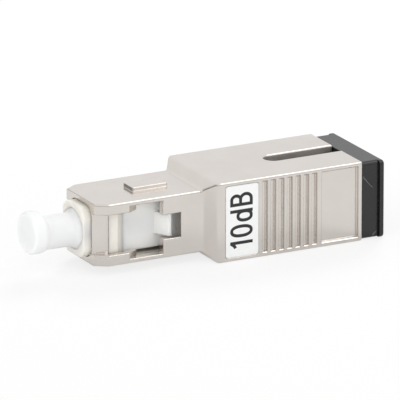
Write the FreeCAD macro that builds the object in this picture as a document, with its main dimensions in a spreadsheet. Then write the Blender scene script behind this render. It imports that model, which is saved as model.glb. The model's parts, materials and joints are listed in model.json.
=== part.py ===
"""Fixed fibre optic attenuator, plug end to socket end, with a 2.5 mm ferrule and a push-pull latch.

Every sub-part is drawn in one working frame: X runs along the optical axis from the front plane of the
coupling sleeve towards the socket end, Y goes across and Z points at the key. One placement then stands
the whole part on the underside of its body, with the middle of its length over the origin.
"""
import FreeCAD, Part
import math
import os
import Sketcher

# Driving dimensions in millimetres: name, value and meaning.
SIZES = (
    ("ferrule_diameter", 2.5, "ceramic ferrule"),
    ("ferrule_reach", 3.0, "ferrule tip in front of the coupling sleeve"),
    ("ferrule_bevel", 0.4, "bevel at both ends of the ferrule"),
    ("fibre_diameter", 0.125, "attenuating fibre"),
    ("bond_gap", 0.01, "adhesive gap round the fibre, and under the collar"),
    ("collar_wall", 0.5, "metal collar outside the ferrule"),
    ("collar_length", 2.25, "metal collar on the ferrule"),
    ("collar_gap", 0.1, "collar to the web of the plug frame"),
    ("spring_length", 5.1, "spring between the collar and its seat"),
    ("spring_wire", 0.3, "spring wire diameter"),
    ("spring_turns", 5.0, "turns of the spring"),
    ("spring_gap", 0.02, "play at the ends of the spring"),
    ("spring_play", 0.05, "spring inside the collar's outline"),
    ("spring_room", 0.1, "play of the collar in its bore"),
    ("split_sleeve_length", 11.4, "slotted alignment sleeve"),
    ("split_sleeve_wall", 0.34, "slotted alignment sleeve"),
    ("split_sleeve_slot", 0.5, "slot along the alignment sleeve"),
    ("split_sleeve_play", 0.01, "alignment sleeve round the ferrule"),
    ("holder_play", 0.1, "alignment sleeve in its holder"),
    ("holder_wall", 0.55, "wall of the holder's tube"),
    ("holder_lip", 0.4, "lip that keeps the alignment sleeve in"),
    ("holder_seat", 1.1, "alignment sleeve inside the inner body"),
    ("ferrule_room", 0.1, "ferrule in the holes that it passes through"),
    ("mouth_room", 0.2, "ferrule in the mouth of the holder"),
    ("recess_room", 0.175, "a socket's tube in the recess of the nose"),
    ("nose_wall", 0.225, "nose of the plug frame beside its recess"),
    ("nose_reach", 1.0, "nose in front of the coupling sleeve"),
    ("nose_corner_radius", 1.5, "corners of the nose"),
    ("nose_edge_radius", 0.2, "front edge of the nose"),
    ("web_thickness", 0.7, "web behind the recess of the nose"),
    ("core_play", 0.07, "core in the housing"),
    ("core_gap", 0.06, "core to the stops in the housing, at rest"),
    ("core_corner_radius", 0.3, "corners of the core and of its chamber"),
    ("push_pull_travel", 1.0, "slide of the housing along the core"),
    ("catch_flat", 1.1, "flat of the catch ledge"),
    ("catch_slope", 1.2, "sloping back of the catch ledge"),
    ("inner_body_wall", 0.35, "inner body beside its spring chamber"),
    ("inner_body_inset", 0.12, "inner body below the catch ledge's height"),
    ("guide_length", 2.7, "block at the rear of the inner body"),
    ("tab_height", 2.6, "snap tab in the rear of the window"),
    ("tab_reach", 0.5, "snap tab past the wall of the chamber"),
    ("tab_flat", 0.4, "flat top of the snap tab"),
    ("tab_slope", 1.05, "leading slope of the snap tab"),
    ("tab_play", 0.03, "snap tab to the window at full travel"),
    ("bridge_wall", 0.68, "front bridge beside the nose opening"),
    ("bridge_length", 1.85, "front bridge along the sleeve"),
    ("bridge_front_wall", 0.23, "front bridge at its front edge"),
    ("bridge_drop", 0.05, "front bridge inside the wall of the chamber"),
    ("sleeve_length", 13.3, "coupling sleeve up to the slanted step"),
    ("sleeve_side_wall", 1.0, "side wall of the coupling sleeve"),
    ("sleeve_height", 7.4, "coupling sleeve"),
    ("sleeve_top_wall", 0.5, "top and bottom walls of the coupling sleeve"),
    ("nose_lip", 0.1, "lip round the nose opening, above and below"),
    ("taper_length", 1.35, "tapered front of the coupling sleeve"),
    ("taper_depth", 0.95, "tapered front, on each side"),
    ("channel_height", 4.8, "side channel that a latch hook runs in"),
    ("window_front", 5.2, "front edge of the window's wide part"),
    ("window_shoulder", 8.34, "rear edge of the window's wide part"),
    ("window_rear", 10.63, "rear edge of the window's narrow part"),
    ("window_inset", 0.05, "window's wide part inside the chamber's height"),
    ("window_rear_height", 2.9, "narrow part of the window"),
    ("window_edge_radius", 0.12, "outer edges of the channels and windows"),
    ("ramp_length", 1.25, "cam ramps in front of the window"),
    ("ramp_depth", 0.7, "cam ramps in front of the window"),
    ("key_front", 6.05, "front face of the key"),
    ("key_length", 4.5, "key on top of the sleeve"),
    ("key_width", 2.3, "key on top of the sleeve"),
    ("key_height", 0.45, "key on top of the sleeve"),
    ("key_edge_radius", 0.12, "upper edges of the key"),
    ("step_length", 1.2, "slanted step from the sleeve to the body"),
    ("step_radius", 0.6, "bends before and after the slanted step"),
    ("edge_radius", 0.25, "long outer edges of the housing"),
    ("body_length", 18.7, "wide body"),
    ("body_side_wall", 1.1, "side wall of the body behind the hooks"),
    ("body_top_wall", 1.03, "top and bottom walls of the body"),
    ("end_edge_radius", 0.25, "edges of the rear end and of the keyway"),
    ("port_play", 0.1, "socket beside a coupling sleeve"),
    ("port_head_play", 0.05, "socket above and below a coupling sleeve"),
    ("port_floor", 0.55, "socket's floor behind the slanted step"),
    ("port_corner_radius", 0.4, "corners of the socket"),
    ("keyway_play", 0.05, "keyway beside a key"),
    ("keyway_length", 9.5, "keyway in the top of the body"),
    ("hook_gap", 0.2, "hook arm outside a front bridge"),
    ("hook_thickness", 0.8, "hook arm"),
    ("hook_height", 4.4, "hook arm"),
    ("hook_lift", 0.75, "room for a hook to spread"),
    ("hook_bite", 0.65, "hook tooth inside a front bridge"),
    ("hook_clearance", 0.25, "hook tooth behind a catch ledge"),
    ("tooth_tip", 0.45, "flat tip of the hook's tooth"),
    ("tooth_lead", 0.9, "lead-in slope of the hook's tooth"),
    ("tooth_back", 0.66, "slope on the back of the hook's tooth"),
    ("ear_play", 0.1, "hook's ears in a window's height"),
    ("ear_thickness", 0.65, "hook's ears"),
    ("flange_length", 3.0, "flange of the latch insert"),
    ("groove_count", 7.0, "grip grooves on each side"),
    ("groove_pitch", 1.07, "grip grooves"),
    ("groove_width", 0.7, "grip grooves"),
    ("groove_depth", 0.42, "grip grooves and rear panel"),
    ("groove_mouth", 0.15, "bevel at the upper and lower ends of the grooves and panel"),
    ("groove_start", 5.65, "first grip groove behind the body's front"),
    ("grip_margin", 0.58, "grip grooves below the top of the body"),
    ("panel_gap", 0.56, "rib between the grip grooves and the rear panel"),
    ("panel_margin", 0.55, "plain rear panel in front of the rear end"),
    ("label_start", 0.94, "label behind the body's front"),
    ("label_length", 4.2, "label along the body"),
    ("label_height", 8.5, "label up the side"),
    ("label_thickness", 0.08, "label"),
    ("label_sink", 0.1, "shallow seat of the label"),
    ("label_play", 0.05, "label in its seat"),
    ("label_corner_radius", 0.3, "corners of the label"),
    ("cap_play", 0.02, "dust cap round the ferrule"),
    ("cap_room", 0.455, "neck of the dust cap in the recess of the nose"),
    ("cap_entry", 2.3, "neck of the dust cap inside the nose"),
    ("cap_reach", 5.95, "dust cap in front of the nose"),
    ("cap_seal_depth", 0.5, "front of the dust cap's seal inside the nose"),
    ("cap_seal_play", 0.05, "seal of the dust cap in the recess of the nose"),
    ("cap_end_gap", 1.2, "air in front of the ferrule tip"),
    ("cap_head_length", 1.55, "straight part of the dust cap's head"),
    ("cap_shoulder_length", 0.67, "slope from the head of the dust cap to its neck"),
    ("cap_head_rim", 0.43, "head of the dust cap outside its neck"),
    ("cap_head_offset", 0.28, "head of the dust cap above its neck"),
    ("cap_edge_radius", 0.45, "front edge of the dust cap's head"),
    ("plug_hook_gap", 0.425, "skirt of the rear dust plug to the hooks at full travel"),
    ("plug_skirt_play", 0.1, "skirt in the socket"),
    ("plug_skirt_wall", 0.9, "skirt of the rear dust plug"),
    ("plug_gap", 0.05, "rear dust plug to the housing"),
    ("plug_length", 2.8, "block of the rear dust plug"),
    ("plug_side_inset", 0.35, "block inside the sides of the body"),
    ("plug_top_inset", 0.26, "block below the top of the body"),
    ("plug_bottom_inset", 0.03, "block above the underside of the body"),
    ("plug_end_wall", 1.1, "end wall of the rear dust plug"),
    ("plug_lip_length", 0.6, "finger lips at the end of the plug"),
    ("plug_edge_radius", 0.45, "edges of the rear dust plug"),
)


# Distances below this count as none when edges are picked out.
TINY = 1e-4

# Flat sides round the section of the spring's wire.
WIRE_SIDES = 6


class Size:
    """A length worked out from the sheet: its text drives the document, its value places a first draft."""

    def __init__(self, text, value):
        self.text = text
        self.value = value

    def __add__(self, other):
        other = as_size(other)
        return Size(f"({self.text} + {other.text})", self.value + other.value)

    def __sub__(self, other):
        other = as_size(other)
        return Size(f"({self.text} - {other.text})", self.value - other.value)

    def __mul__(self, other):
        other = as_size(other)
        return Size(f"({self.text} * {other.text})", self.value * other.value)

    def __truediv__(self, other):
        other = as_size(other)
        return Size(f"({self.text} / {other.text})", self.value / other.value)

    def __neg__(self):
        return Size(f"(0 - {self.text})", -self.value)


def as_size(number):
    """A plain number as a Size, and a Size as it is."""
    if isinstance(number, Size):
        return number
    return Size(repr(float(number)), float(number))


class Drawing:
    """The sizes by name, and those that follow from them, counted from the sleeve's front plane."""

    def __init__(self, sizes):
        for alias, value, _ in sizes:
            setattr(self, alias, Size(f"Sizes.{alias}", value))
        self.zero = as_size(0)
        self.derive_widths()
        self.derive_heights()
        self.derive_lengths()

    def derive_widths(self):
        """The fits nest outwards from the ferrule, each from the one inside it."""
        self.split_sleeve_bore = self.ferrule_diameter + self.split_sleeve_play * 2
        self.split_sleeve_diameter = self.split_sleeve_bore + self.split_sleeve_wall * 2
        self.holder_bore = self.split_sleeve_diameter + self.holder_play * 2
        self.tube_diameter = self.holder_bore + self.holder_wall * 2
        self.recess_diameter = self.tube_diameter + self.recess_room * 2
        self.nose_width = self.recess_diameter + self.nose_wall * 2
        self.nose_opening = self.nose_width + self.core_play * 2
        self.bridge_width = self.nose_opening + self.bridge_wall * 2
        self.chamber_width = self.bridge_width + self.bridge_drop * 2
        self.core_width = self.chamber_width - self.core_play * 2
        self.sleeve_width = self.chamber_width + self.sleeve_side_wall * 2
        self.port_width = self.sleeve_width + self.port_play * 2
        self.hook_inside = self.bridge_width / 2 + self.hook_gap
        self.hook_outside = self.hook_inside + self.hook_thickness
        self.relief_width = (self.hook_outside + self.hook_lift) * 2
        self.body_width = self.relief_width + self.body_side_wall * 2
        self.keyway_width = self.key_width + self.keyway_play * 2
        self.collar_diameter = self.ferrule_diameter + self.collar_wall * 2
        self.spring_bore = self.collar_diameter + self.spring_room * 2
        self.inner_body_width = self.spring_bore + self.inner_body_wall * 2
        self.cap_neck_radius = self.recess_diameter / 2 - self.cap_room
        self.cap_head_radius = self.cap_neck_radius + self.cap_head_rim

    def derive_heights(self):
        """Heights nest inwards from the coupling sleeve, and outwards to the body."""
        self.chamber_height = self.sleeve_height - self.sleeve_top_wall * 2
        self.core_height = self.chamber_height - self.core_play * 2
        self.opening_height = self.chamber_height - self.nose_lip * 2
        self.nose_height = self.opening_height - self.core_play * 2
        self.window_height = self.chamber_height - self.window_inset * 2
        self.inner_body_height = self.core_height - self.inner_body_inset * 2
        self.port_height = self.sleeve_height + self.port_head_play * 2
        self.relief_height = self.window_height + self.port_head_play * 2
        self.body_height = self.port_height + self.body_top_wall * 2
        self.grip_height = self.body_height - self.grip_margin * 2

    def derive_lengths(self):
        """Places along X, from the dust cap's end to the end of the rear dust plug."""
        self.body_front = self.sleeve_length + self.step_length
        self.body_rear = self.body_front + self.body_length
        self.groove_front = self.body_front + self.groove_start
        self.groove_row = self.groove_pitch * (self.groove_count - 1)
        self.panel_front = self.groove_front + self.groove_row + self.groove_width + self.panel_gap
        self.floor = self.body_front + self.port_floor
        self.flange_front = self.floor + self.core_gap
        self.flange_rear = self.flange_front + self.flange_length
        self.relief_front = self.flange_rear + self.push_pull_travel
        self.catch_front = self.bridge_length + self.core_gap
        self.catch_crest = self.catch_front + self.catch_flat
        self.frame_end = self.catch_crest + self.catch_slope
        self.web_front = self.frame_end - self.web_thickness
        self.collar_front = self.frame_end + self.collar_gap
        self.collar_rear = self.collar_front + self.collar_length
        self.spring_seat = self.collar_rear + self.spring_length
        self.split_sleeve_front = self.flange_front - self.holder_seat
        self.split_sleeve_rear = self.split_sleeve_front + self.split_sleeve_length
        self.contact_plane = self.split_sleeve_front + self.split_sleeve_length / 2
        self.tube_floor = self.split_sleeve_rear + self.holder_play
        self.tube_end = self.tube_floor + self.holder_lip
        self.mate_front = self.contact_plane + self.ferrule_reach
        self.hook_catch = self.mate_front + self.catch_crest + self.hook_clearance
        self.tooth_front = self.hook_catch + self.catch_slope / 2
        self.tooth_rear = self.tooth_front + self.tooth_tip
        self.hook_end = self.tooth_rear + self.tooth_lead
        self.tab_rear = self.window_rear - self.push_pull_travel - self.tab_play
        self.cap_end = -(self.nose_reach + self.cap_reach)
        self.skirt_front = self.hook_end + self.push_pull_travel + self.plug_hook_gap
        self.plug_front = self.body_rear + self.plug_gap
        self.plug_end = self.plug_front + self.plug_length


def make_sheet(doc):
    """The sheet that drives the document: a name, a value with that name as its alias, and a meaning."""
    sheet = doc.addObject("Spreadsheet::Sheet", "Sizes")
    for row, (alias, value, meaning) in enumerate(SIZES, 1):
        sheet.set(f"A{row}", alias)
        sheet.set(f"B{row}", str(value))
        sheet.set(f"C{row}", meaning)
        sheet.setAlias(f"B{row}", alias)
    doc.recompute()


def new_body(doc, label):
    """An empty body, placed so that the finished part stands on its underside over the origin."""
    body = doc.addObject("PartDesign::Body", label)
    body.Label = label
    body.setExpression("Placement.Base.x", (-(d.cap_end + d.plug_end) / 2).text)
    body.setExpression("Placement.Base.z", (d.body_height / 2).text)
    return body


def new_sketch(body, name, plane, offset=None):
    """A sketch on one of the body's own origin planes, moved along that plane's normal."""
    sketch = body.newObject("Sketcher::SketchObject", name)
    support = next(item for item in body.Origin.OriginFeatures if item.Role == plane)
    sketch.AttachmentSupport = (support, [""])
    sketch.MapMode = "FlatFace"
    if offset is not None:
        sketch.setExpression("AttachmentOffset.Base.z", offset.text)
    return sketch


def hold(sketch, element, point, x, y):
    """Fix a point of a sketch by its two distances from the sketch's origin."""
    for kind, distance in (("DistanceX", x), ("DistanceY", y)):
        index = sketch.addConstraint(Sketcher.Constraint(kind, -1, 1, element, point, distance.value))
        sketch.setExpression(f"Constraints[{index}]", distance.text)


def draw_polygon(sketch, points):
    """A closed outline of straight lines."""
    first = sketch.GeometryCount
    corners = [FreeCAD.Vector(x.value, y.value, 0) for x, y in points]
    for corner, following in zip(corners, corners[1:] + corners[:1]):
        sketch.addGeometry(Part.LineSegment(corner, following), False)
    for step, (x, y) in enumerate(points):
        following = first + (step + 1) % len(points)
        sketch.addConstraint(Sketcher.Constraint("Coincident", first + step, 2, following, 1))
        hold(sketch, first + step, 1, x, y)


def draw_both_sides(sketch, points):
    """The same outline twice, on the positive and the negative side of the sketch's first axis."""
    draw_polygon(sketch, points)
    draw_polygon(sketch, [(x, -y) for x, y in points])


def draw_rectangle(sketch, low, high, radius):
    """A rectangle between two opposite corners, with rounded corners."""
    first = sketch.GeometryCount
    (left, bottom), (right, top) = low, high
    sides = (
        ((left + radius, bottom), (right - radius, bottom)),
        ((right, bottom + radius), (right, top - radius)),
        ((right - radius, top), (left + radius, top)),
        ((left, top - radius), (left, bottom + radius)),
    )
    centres = (
        (right - radius, bottom + radius),
        (right - radius, top - radius),
        (left + radius, top - radius),
        (left + radius, bottom + radius),
    )
    for start, end in sides:
        ends = [FreeCAD.Vector(x.value, y.value, 0) for x, y in (start, end)]
        sketch.addGeometry(Part.LineSegment(*ends), False)
    for quarter, (x, y) in enumerate(centres):
        circle = Part.Circle(FreeCAD.Vector(x.value, y.value, 0), FreeCAD.Vector(0, 0, 1), radius.value)
        start_angle = (quarter - 1) * math.pi / 2
        sketch.addGeometry(Part.ArcOfCircle(circle, start_angle, start_angle + math.pi / 2), False)
    for quarter, (start, end) in enumerate(sides):
        line = first + quarter
        arc = first + len(sides) + quarter
        following = first + (quarter + 1) % len(sides)
        hold(sketch, line, 1, *start)
        hold(sketch, line, 2, *end)
        sketch.addConstraint(Sketcher.Constraint("Tangent", line, 2, arc, 1))
        sketch.addConstraint(Sketcher.Constraint("Coincident", arc, 2, following, 1))


def draw_section(sketch, width, height, radius):
    """A rounded rectangle about the optical axis."""
    draw_rectangle(sketch, (-width / 2, -height / 2), (width / 2, height / 2), radius)


def draw_circle(sketch, x, y, radius):
    """A circle with its centre at x and y."""
    centre = FreeCAD.Vector(x.value, y.value, 0)
    circle = sketch.addGeometry(Part.Circle(centre, FreeCAD.Vector(0, 0, 1), radius.value), False)
    hold(sketch, circle, 3, x, y)
    index = sketch.addConstraint(Sketcher.Constraint("Radius", circle, radius.value))
    sketch.setExpression(f"Constraints[{index}]", radius.text)


def extrude(body, kind, sketch, name, length, symmetric, forward):
    """A pad or pocket of a sketch, to both sides of it or along its normal."""
    feature = body.newObject(f"PartDesign::{kind}", name)
    feature.Profile = sketch
    feature.SideType = "Symmetric" if symmetric else "One side"
    feature.Reversed = forward == (kind == "Pocket")
    feature.setExpression("Length", length.text)
    return feature


def add(body, sketch, name, length, symmetric=False, forward=True):
    """Material along the sketch's normal, or on both sides of it."""
    extrude(body, "Pad", sketch, name, length, symmetric, forward)


def cut(body, sketch, name, length, symmetric=False, forward=True):
    """A pocket along the sketch's normal, or on both sides of it, which has to remove something."""
    body.Document.recompute()
    before = body.Shape.Volume
    feature = extrude(body, "Pocket", sketch, name, length, symmetric, forward)
    body.Document.recompute()
    if not body.Shape.Volume < before:
        raise ValueError(f"{body.Label}: {name} removes nothing")
    return feature


def add_section(body, name, start, length, width, height, radius):
    """A rounded bar along X, centred on the optical axis."""
    sketch = new_sketch(body, f"{name}_section", "YZ_Plane", start)
    draw_section(sketch, width, height, radius)
    add(body, sketch, name, length)


def cut_section(body, name, start, length, width, height, radius):
    """A rounded passage along X, centred on the optical axis."""
    sketch = new_sketch(body, f"{name}_section", "YZ_Plane", start)
    draw_section(sketch, width, height, radius)
    cut(body, sketch, name, length)


def cut_bore(body, name, start, length, diameter):
    """A round hole along the optical axis."""
    sketch = new_sketch(body, f"{name}_circle", "YZ_Plane", start)
    draw_circle(sketch, d.zero, d.zero, diameter / 2)
    cut(body, sketch, name, length)


def revolve(body, name, points):
    """A solid turned about the optical axis, from an outline of places along X and radii."""
    sketch = new_sketch(body, f"{name}_outline", "XZ_Plane")
    draw_polygon(sketch, points)
    feature = body.newObject("PartDesign::Revolution", name)
    feature.Profile = sketch
    feature.ReferenceAxis = (sketch, ["H_Axis"])
    feature.Angle = 360


def round_edges(body, name, radius, wanted):
    """A fillet on those edges of the body that the test picks out."""
    body.Document.recompute()
    base = body.Tip
    picked = [f"Edge{number}" for number, edge in enumerate(base.Shape.Edges, 1) if wanted(edge)]
    if not picked:
        raise ValueError(f"{body.Label}: {name} finds no edge")
    feature = body.newObject("PartDesign::Fillet", name)
    feature.Base = (base, picked)
    feature.setExpression("Radius", radius.text)
    body.Document.recompute()


def near(value, size):
    """Whether a coordinate lies at a size."""
    return abs(value - size.value) < TINY


def across(edge, place):
    """Whether an edge lies in the plane across X at a place."""
    box = edge.BoundBox
    return near(box.XMin, place) and near(box.XMax, place)


def make_housing(doc):
    """The die-cast housing: a blank with its key, hollowed from both ends and cut from the sides."""
    body = new_body(doc, "housing")
    add_housing_blank(body)
    add_key(body)
    cut_chamber(body)
    cut_windows(body)
    cut_keyway(body)
    cut_grips(body)
    cut_label_seat(body)
    return body


def add_housing_blank(body):
    """The outside of the housing: its plan padded, its side profile cut, then bends and edges rounded."""
    half_plan = [
        (d.zero, d.sleeve_width / 2 - d.taper_depth),
        (d.taper_length, d.sleeve_width / 2),
        (d.sleeve_length, d.sleeve_width / 2),
        (d.body_front, d.body_width / 2),
        (d.body_rear, d.body_width / 2),
    ]
    plan = new_sketch(body, "plan_outline", "XY_Plane")
    draw_polygon(plan, half_plan + [(x, -y) for x, y in reversed(half_plan)])
    add(body, plan, "plan", d.body_height, symmetric=True)
    bends = (d.sleeve_length, d.body_front)

    def side_bend(edge):
        """An upright edge at the start or end of the slanted step."""
        return edge.BoundBox.YLength < TINY and any(across(edge, bend) for bend in bends)

    round_edges(body, "side_bends", d.step_radius, side_bend)
    above = d.body_height / 2 + d.body_top_wall
    profile = new_sketch(body, "side_outline", "XZ_Plane")
    draw_both_sides(profile, [
        (d.zero, d.sleeve_height / 2),
        (d.sleeve_length, d.sleeve_height / 2),
        (d.body_front, d.body_height / 2),
        (d.body_front, above),
        (d.zero, above),
    ])
    cut(body, profile, "side_profile", d.body_width, symmetric=True)

    def level_bend(edge):
        """An edge across the top or the underside, at the start or end of the slanted step."""
        return edge.BoundBox.ZLength < TINY and any(across(edge, bend) for bend in bends)

    round_edges(body, "level_bends", d.step_radius, level_bend)
    lowest = d.sleeve_height.value / 2 - TINY
    narrowest = d.sleeve_width.value / 2 - d.taper_depth.value - TINY

    def long_edge(edge):
        """An edge along the housing where a side meets the top or the underside."""
        middle = edge.valueAt((edge.FirstParameter + edge.LastParameter) / 2)
        return edge.BoundBox.XLength > TINY and abs(middle.z) > lowest and abs(middle.y) > narrowest

    round_edges(body, "long_edges", d.edge_radius, long_edge)


def add_key(body):
    """The key on top of the sleeve, which lines the plug up with a keyway."""
    sketch = new_sketch(body, "key_outline", "XY_Plane")
    low = (d.key_front, -d.key_width / 2)
    high = (d.key_front + d.key_length, d.key_width / 2)
    draw_rectangle(sketch, low, high, d.key_edge_radius)
    add(body, sketch, "key", d.sleeve_height / 2 + d.key_height)
    top = d.sleeve_height / 2 + d.key_height
    round_edges(body, "key_edges", d.key_edge_radius, lambda edge: near(edge.BoundBox.ZMin, top))


def cut_chamber(body):
    """The nose opening, the chamber of the core, the socket and the room beside its hooks."""
    cut_section(
        body, "nose_opening", d.zero, d.bridge_length, d.nose_opening, d.opening_height, d.nose_corner_radius
    )
    cut_section(
        body, "chamber", d.bridge_length, d.floor - d.bridge_length,
        d.chamber_width, d.chamber_height, d.core_corner_radius,
    )
    cut_section(
        body, "socket", d.floor, d.body_rear - d.floor, d.port_width, d.port_height, d.port_corner_radius
    )
    cut_section(
        body, "hook_room", d.relief_front, d.body_rear - d.relief_front,
        d.relief_width, d.relief_height, d.core_corner_radius,
    )


def cut_windows(body):
    """The T-shaped side windows, the hook channels over the front bridge and the cam ramps."""
    window = new_sketch(body, "window_outline", "XZ_Plane")
    half_outline = [
        (d.bridge_length, d.channel_height / 2),
        (d.window_front, d.channel_height / 2),
        (d.window_front, d.window_height / 2),
        (d.window_shoulder, d.window_height / 2),
        (d.window_shoulder, d.window_rear_height / 2),
        (d.window_rear, d.window_rear_height / 2),
    ]
    draw_polygon(window, half_outline + [(x, -z) for x, z in reversed(half_outline)])
    cut(body, window, "windows", d.sleeve_width, symmetric=True)

    side = d.sleeve_width / 2 + d.bridge_wall
    front_half = d.nose_opening / 2 + d.bridge_front_wall
    channel = new_sketch(body, "channel_outline", "XY_Plane")
    draw_both_sides(channel, [
        (d.zero, front_half),
        (d.taper_length, d.bridge_width / 2),
        (d.bridge_length, d.bridge_width / 2),
        (d.bridge_length, side),
        (d.zero, side),
    ])
    cut(body, channel, "hook_channels", d.channel_height, symmetric=True)

    ramp_foot = d.sleeve_width / 2 - d.ramp_depth
    ramps = new_sketch(body, "ramp_outline", "XY_Plane")
    draw_both_sides(ramps, [
        (d.window_front - d.ramp_length, d.sleeve_width / 2),
        (d.window_front, ramp_foot),
        (d.window_front, side),
        (d.window_front - d.ramp_length, side),
    ])
    cut(body, ramps, "cam_ramps", d.window_height, symmetric=True)
    levels = (d.channel_height / 2, d.window_height / 2, d.window_rear_height / 2)
    inside = d.bridge_width.value / 2 + TINY

    def window_edge(edge):
        """A level edge where a channel or window opens on a side of the sleeve."""
        middle = edge.valueAt((edge.FirstParameter + edge.LastParameter) / 2)
        level = edge.BoundBox.ZLength < TINY and any(near(abs(middle.z), height) for height in levels)
        outer = near(abs(middle.y), d.sleeve_width / 2) or middle.x < d.taper_length.value
        return level and outer and edge.BoundBox.XLength > TINY and abs(middle.y) > inside

    round_edges(body, "window_edges", d.window_edge_radius, window_edge)


def cut_keyway(body):
    """The keyway through the top of the body, with a round end, and the rounded rear end."""
    end = d.body_rear - d.keyway_length
    half = d.keyway_width / 2
    sketch = new_sketch(body, "keyway_outline", "XY_Plane")
    draw_rectangle(sketch, (end, -half), (d.body_rear + d.keyway_width, half), d.key_width / 2)
    cut(body, sketch, "keyway", d.body_height)
    top = d.body_height / 2

    def rounded(edge):
        """The keyway's upper edge, and the outer edge of the rear end."""
        box = edge.BoundBox
        reach = max(abs(box.YMin), abs(box.YMax))
        upper = near(box.ZMin, top) and reach < half.value + TINY
        outer = reach > d.relief_width.value / 2 + TINY or near(box.ZMin, top) or near(box.ZMax, -top)
        return upper or (across(edge, d.body_rear) and outer)

    round_edges(body, "rear_edges", d.end_edge_radius, rounded)


def cut_grips(body):
    """The rows of grip grooves and the plain panels on both sides of the body."""
    outside = d.body_width / 2
    half = d.grip_height / 2
    mouth = half + d.groove_mouth
    upper_half = [
        (outside + d.groove_depth, mouth),
        (outside, mouth),
        (outside - d.groove_mouth, half),
        (outside - d.groove_depth, half),
    ]
    outline = upper_half + [(y, -z) for y, z in reversed(upper_half)]

    first = new_sketch(body, "groove_section", "YZ_Plane", d.groove_front)
    draw_polygon(first, outline)
    draw_polygon(first, [(-y, z) for y, z in outline])
    groove = cut(body, first, "groove", d.groove_width)
    row = body.newObject("PartDesign::LinearPattern", "groove_row")
    row.Originals = [groove]
    row.Direction = (first, ["N_Axis"])
    row.setExpression("Length", d.groove_row.text)
    row.setExpression("Occurrences", d.groove_count.text)
    body.Tip = row

    panel = new_sketch(body, "panel_section", "YZ_Plane", d.panel_front)
    draw_polygon(panel, outline)
    draw_polygon(panel, [(-y, z) for y, z in outline])
    cut(body, panel, "rear_panels", d.body_rear - d.panel_margin - d.panel_front)


def cut_label_seat(body):
    """The shallow seat that keeps the label's edges below the surface."""
    sketch = new_sketch(body, "label_seat_outline", "XZ_Plane", d.body_width / 2)
    draw_label(sketch, d.label_play)
    cut(body, sketch, "label_seat", d.label_sink, forward=False)


def draw_label(sketch, margin):
    """The label's outline on the side of the body, with a margin all round."""
    start = d.body_front + d.label_start
    low = (start - margin, -d.label_height / 2 - margin)
    high = (start + d.label_length + margin, d.label_height / 2 + margin)
    draw_rectangle(sketch, low, high, d.label_corner_radius)


def make_label(doc):
    """The paper label on the near side of the body."""
    body = new_body(doc, "label")
    sketch = new_sketch(body, "label_outline", "XZ_Plane", d.body_width / 2 - d.label_sink)
    draw_label(sketch, d.zero)
    add(body, sketch, "label_sheet", d.label_thickness)
    return body


def make_plug_frame(doc):
    """The moulded nose round the ferrule, with the catch ledges that a socket's hooks hold."""
    body = new_body(doc, "plug_frame")
    front = -d.nose_reach
    add_section(
        body, "nose", front, d.catch_front + d.nose_reach, d.nose_width, d.nose_height, d.nose_corner_radius
    )
    round_edges(body, "nose_edge", d.nose_edge_radius, lambda edge: across(edge, front))
    add_section(
        body, "catch", d.catch_front, d.frame_end - d.catch_front,
        d.core_width, d.core_height, d.core_corner_radius,
    )
    slopes = new_sketch(body, "slope_outline", "XY_Plane")
    draw_both_sides(slopes, [
        (d.catch_crest, d.core_width / 2),
        (d.frame_end, d.inner_body_width / 2),
        (d.frame_end, d.core_width / 2 + d.core_play),
        (d.catch_crest, d.core_width / 2 + d.core_play),
    ])
    cut(body, slopes, "catch_slopes", d.core_height, symmetric=True)
    cut_bore(body, "recess", front, d.web_front + d.nose_reach, d.recess_diameter)
    cut_bore(body, "web_hole", d.web_front, d.web_thickness, d.ferrule_diameter + d.ferrule_room * 2)
    return body


def make_inner_body(doc):
    """The moulding behind the nose: spring chamber, guide block, sleeve seat and snap tabs."""
    body = new_body(doc, "inner_body")
    add_section(
        body, "barrel", d.frame_end, d.flange_front - d.frame_end,
        d.inner_body_width, d.inner_body_height, d.core_corner_radius,
    )
    add_section(
        body, "guide_block", d.flange_front - d.guide_length, d.guide_length,
        d.core_width, d.core_height, d.core_corner_radius,
    )
    crest = d.chamber_width / 2 + d.tab_reach
    root = d.inner_body_width / 2 - d.core_play
    tabs = new_sketch(body, "tab_outline", "XY_Plane")
    draw_both_sides(tabs, [
        (d.tab_rear - d.tab_flat - d.tab_slope, root),
        (d.tab_rear, root),
        (d.tab_rear, crest),
        (d.tab_rear - d.tab_flat, crest),
    ])
    add(body, tabs, "snap_tabs", d.tab_height, symmetric=True)
    passage = d.flange_front - d.frame_end
    cut_bore(body, "ferrule_passage", d.frame_end, passage, d.ferrule_diameter + d.ferrule_room * 2)
    cut_bore(body, "spring_chamber", d.frame_end, d.spring_seat - d.frame_end, d.spring_bore)
    seat_depth = d.holder_seat + d.holder_play
    cut_bore(body, "sleeve_seat", d.flange_front - seat_depth, seat_depth, d.holder_bore)
    return body


def make_ferrule(doc):
    """The ceramic ferrule, bevelled at both ends, with a fine bore for the fibre."""
    body = new_body(doc, "ferrule")
    tip = -d.ferrule_reach
    end = d.contact_plane
    radius = d.ferrule_diameter / 2
    bore = d.fibre_diameter / 2 + d.bond_gap
    revolve(body, "ferrule_rod", [
        (tip, bore),
        (tip, radius - d.ferrule_bevel),
        (tip + d.ferrule_bevel, radius),
        (end - d.ferrule_bevel, radius),
        (end, radius - d.ferrule_bevel),
        (end, bore),
    ])
    return body


def make_attenuating_fibre(doc):
    """The doped fibre that fills the ferrule's bore from face to face."""
    body = new_body(doc, "attenuating_fibre")
    sketch = new_sketch(body, "fibre_circle", "YZ_Plane", -d.ferrule_reach)
    draw_circle(sketch, d.zero, d.zero, d.fibre_diameter / 2)
    add(body, sketch, "fibre_length", d.contact_plane + d.ferrule_reach)
    return body


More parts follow.
